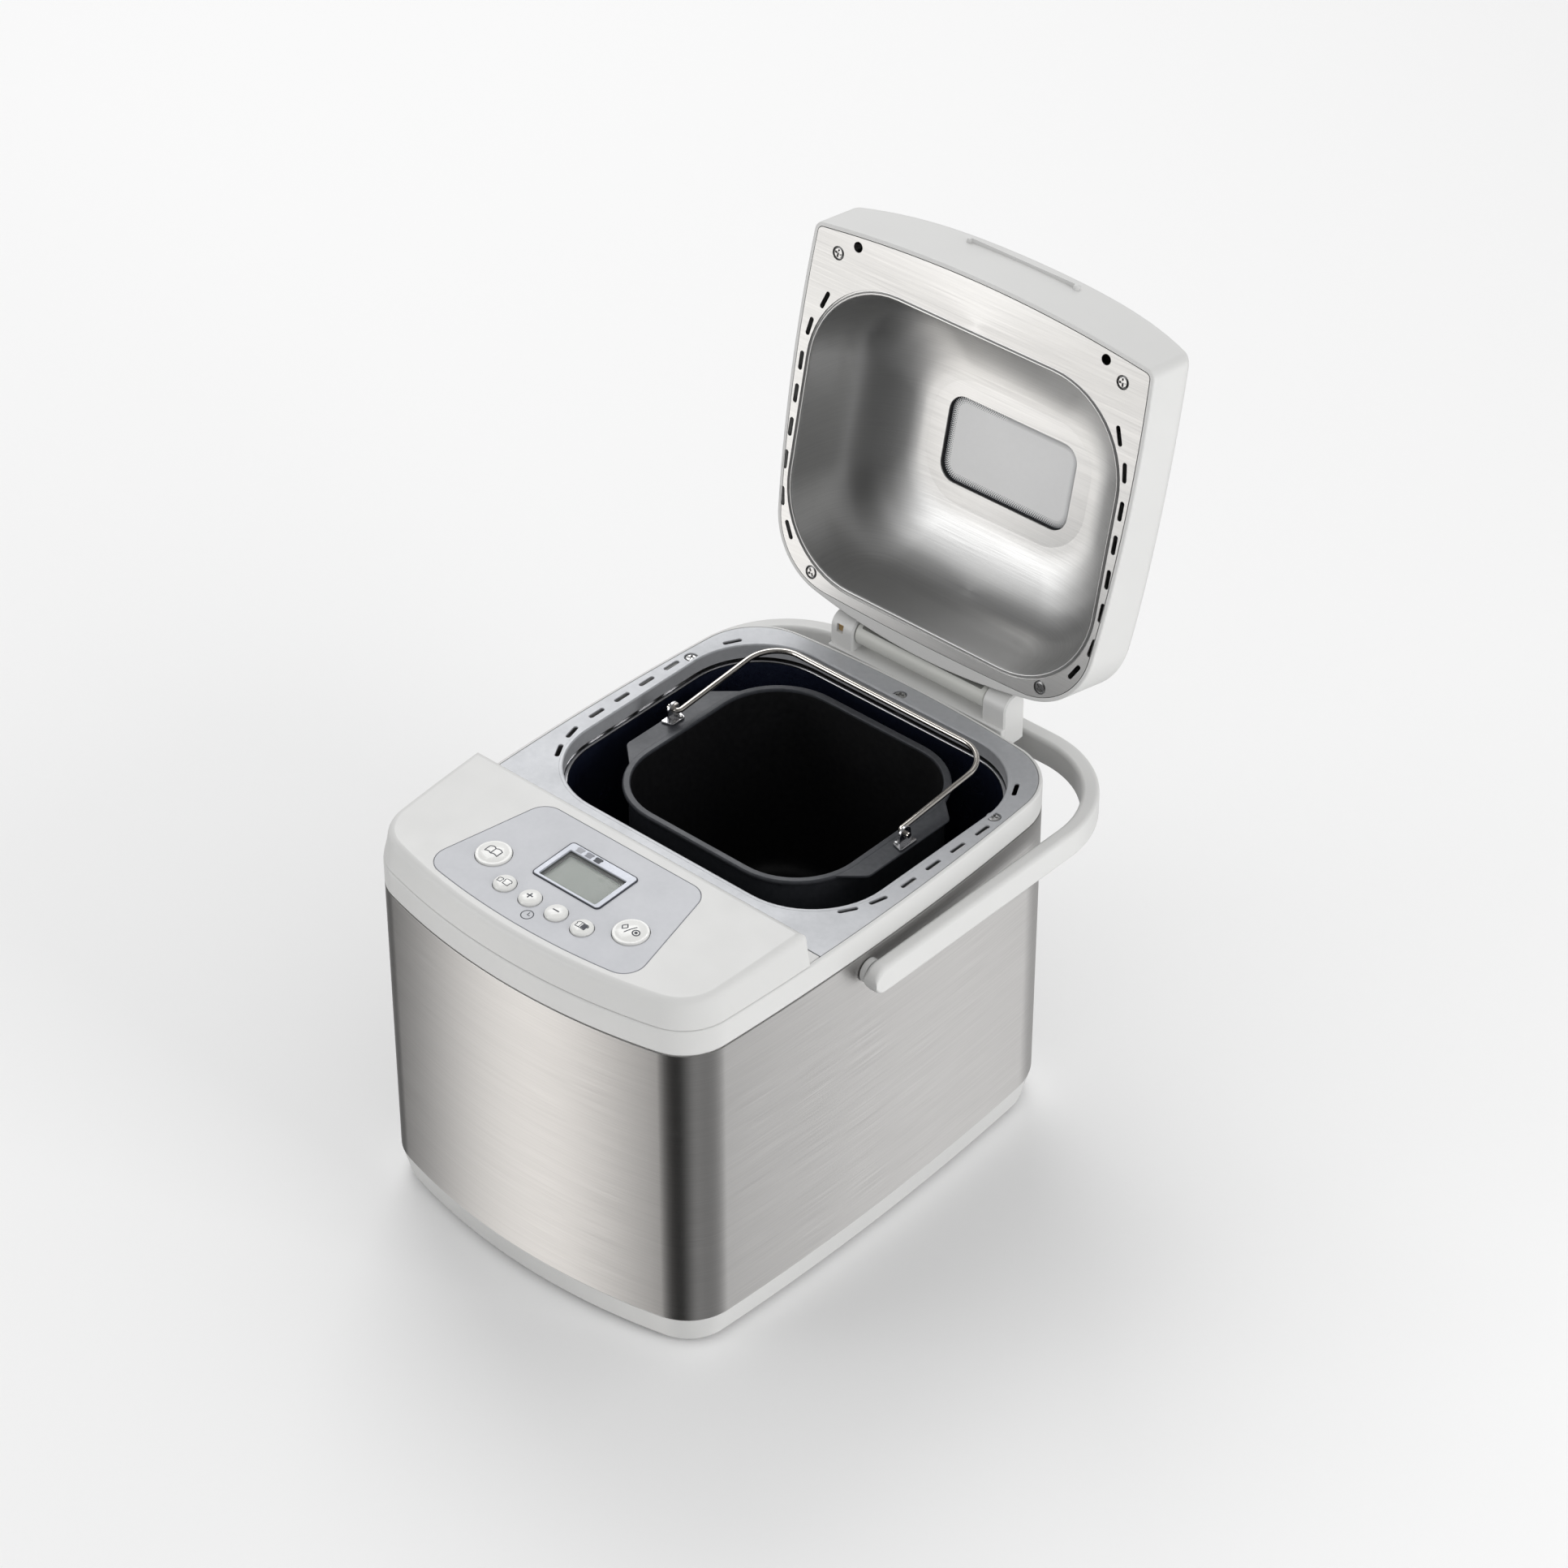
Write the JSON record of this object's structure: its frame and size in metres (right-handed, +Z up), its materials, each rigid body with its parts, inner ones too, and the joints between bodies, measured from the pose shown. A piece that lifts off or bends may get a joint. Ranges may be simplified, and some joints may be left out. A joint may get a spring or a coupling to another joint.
{
  "type": "bread machine",
  "caption": "Countertop bread machine with hinged domed lid, bowed steel body, lift-out non-stick pan with wire handle and kneading paddle, sloping button console and carry handle.",
  "frame": {"origin": "on the resting surface, under the middle of the machine's box with the lid open", "axes": "+Z up, +X to the right seen from the control console, -Y towards the user"},
  "size_m": [0.268, 0.4156, 0.4509],
  "materials": {
    "white_plastic": "semi-gloss, faint moulded texture",
    "deck_paint": "satin silver-grey",
    "brushed_wrap": "fine horizontal brushing",
    "lid_metal": "satin brushed",
    "screw_metal": "plated",
    "rubber_black": "matt",
    "foot_rubber": "matt",
    "oven_coating": "blue-black oven coating",
    "element_metal": "heat-dulled",
    "plain_steel": "bright zinc plated",
    "ceramic_white": "matt",
    "bronze": "sintered",
    "motor_paint": "semi-gloss",
    "board_green": "solder resist",
    "grey_plastic": "moulded",
    "overlay_film": "fine satin film",
    "frame_silver": "satin silver",
    "clear_lens": "clear",
    "lcd_glass": "grey-green liquid crystal",
    "window_glass": "frosted",
    "gasket_dark": "satin",
    "non_stick": "charcoal non-stick coating",
    "cast_grey": "die cast",
    "bright_chrome": "polished",
    "pearl_plastic": "pearl gloss"
  },
  "bodies": {
    "base": {"base_tray": "white_plastic", "rubber_feet": "foot_rubber", "base_screws": "screw_metal", "outer_shell": "brushed_wrap", "top_rim": "white_plastic", "deck_plate": "deck_paint", "deck_screws": "screw_metal", "oven_liner": "oven_coating", "heating_element": "element_metal", "element_brackets": "plain_steel", "element_bushings": "ceramic_white", "temperature_sensor": "plain_steel", "thermal_fuse": "ceramic_white", "pan_socket": "plain_steel", "spindle_bearing": "bronze", "drive_chassis": "plain_steel", "drive_motor": "motor_paint", "motor_capacitor": "grey_plastic", "drive_belt": "rubber_black", "power_board": "board_green", "console_cover": "white_plastic", "control_overlay": "overlay_film", "display_frame": "frame_silver", "display_window": "clear_lens", "display_module": "lcd_glass", "control_board": "board_green", "tact_switches": "grey_plastic", "control_cable": "grey_plastic", "hinge_bracket": "white_plastic", "hinge_pins": "plain_steel", "handle_studs": "white_plastic", "cord_inlet": "rubber_black"},
    "lid": {"lid_shell": "white_plastic", "lid_liner": "lid_metal", "lid_window": "window_glass", "window_gasket": "gasket_dark", "lid_outer_window": "window_glass", "lid_screws": "screw_metal", "lid_hinge_arm": "white_plastic"},
    "carry_handle": {"carry_handle": "white_plastic"},
    "pan": {"bread_pan": "non_stick", "pan_ears": "bright_chrome", "ear_rivets": "screw_metal", "pan_base_ring": "cast_grey", "shaft_bush": "bronze", "shaft_seal": "rubber_black"},
    "pan_handle": {"pan_handle": "bright_chrome"},
    "kneader": {"paddle_shaft": "plain_steel", "kneading_paddle": "non_stick", "shaft_coupling": "plain_steel"},
    "spindle": {"drive_spindle": "plain_steel", "drive_coupler": "plain_steel", "large_pulley": "grey_plastic"},
    "motor_rotor": {"motor_pulley": "plain_steel"},
    "menu_button": {"menu_button": "pearl_plastic"},
    "loaf_button": {"loaf_button": "pearl_plastic"},
    "plus_button": {"plus_button": "pearl_plastic"},
    "minus_button": {"minus_button": "pearl_plastic"},
    "crust_button": {"crust_button": "pearl_plastic"},
    "start_button": {"start_button": "pearl_plastic"}
  },
  "joints": [
    {"name": "lid_hinge", "type": "hinge", "parent": "base", "child": "lid", "pos_m": [0, 0.12159, 0.226], "axis": [-1, 0, 0], "range_deg": [-102.2, 0]},
    {"name": "handle_swing", "type": "hinge", "parent": "base", "child": "carry_handle", "pos_m": [0, -0.06531, 0.19], "axis": [1, 0, 0], "range_deg": [0, 5]},
    {"name": "pan_lift", "type": "slide", "parent": "base", "child": "pan", "axis": [0, 0, 1], "range_m": [0, 0.17]},
    {"name": "pan_handle_swing", "type": "hinge", "parent": "pan", "child": "pan_handle", "pos_m": [0, 0.00719, 0.217], "axis": [1, 0, 0], "range_deg": [0, 170]},
    {"name": "spindle_spin", "type": "hinge", "parent": "base", "child": "spindle", "pos_m": [0, 0.00719, 0.034], "axis": [0, 0, 1], "continuous": true},
    {"name": "motor_spin", "type": "hinge", "parent": "base", "child": "motor_rotor", "pos_m": [0.042, -0.15031, 0.034], "axis": [0, 0, 1], "continuous": true},
    {"name": "paddle_spin", "type": "hinge", "parent": "pan", "child": "kneader", "pos_m": [0, 0.00719, 0.09], "axis": [0, 0, 1], "continuous": true},
    {"name": "menu_press", "type": "slide", "parent": "base", "child": "menu_button", "axis": [0, 0.0419, -0.9991], "range_m": [0, 0.001], "stiffness_N_per_m": 500},
    {"name": "loaf_press", "type": "slide", "parent": "base", "child": "loaf_button", "axis": [0, 0.0419, -0.9991], "range_m": [0, 0.001], "stiffness_N_per_m": 500},
    {"name": "plus_press", "type": "slide", "parent": "base", "child": "plus_button", "axis": [0, 0.0419, -0.9991], "range_m": [0, 0.001], "stiffness_N_per_m": 500},
    {"name": "minus_press", "type": "slide", "parent": "base", "child": "minus_button", "axis": [0, 0.0419, -0.9991], "range_m": [0, 0.001], "stiffness_N_per_m": 500},
    {"name": "crust_press", "type": "slide", "parent": "base", "child": "crust_button", "axis": [0, 0.0419, -0.9991], "range_m": [0, 0.001], "stiffness_N_per_m": 500},
    {"name": "start_press", "type": "slide", "parent": "base", "child": "start_button", "axis": [0, 0.0419, -0.9991], "range_m": [0, 0.001], "stiffness_N_per_m": 500}
  ],
  "couplings": [
    {"joint": "motor_spin", "follows": "spindle_spin", "ratio": 6.5},
    {"joint": "paddle_spin", "follows": "spindle_spin", "ratio": 1}
  ]
}
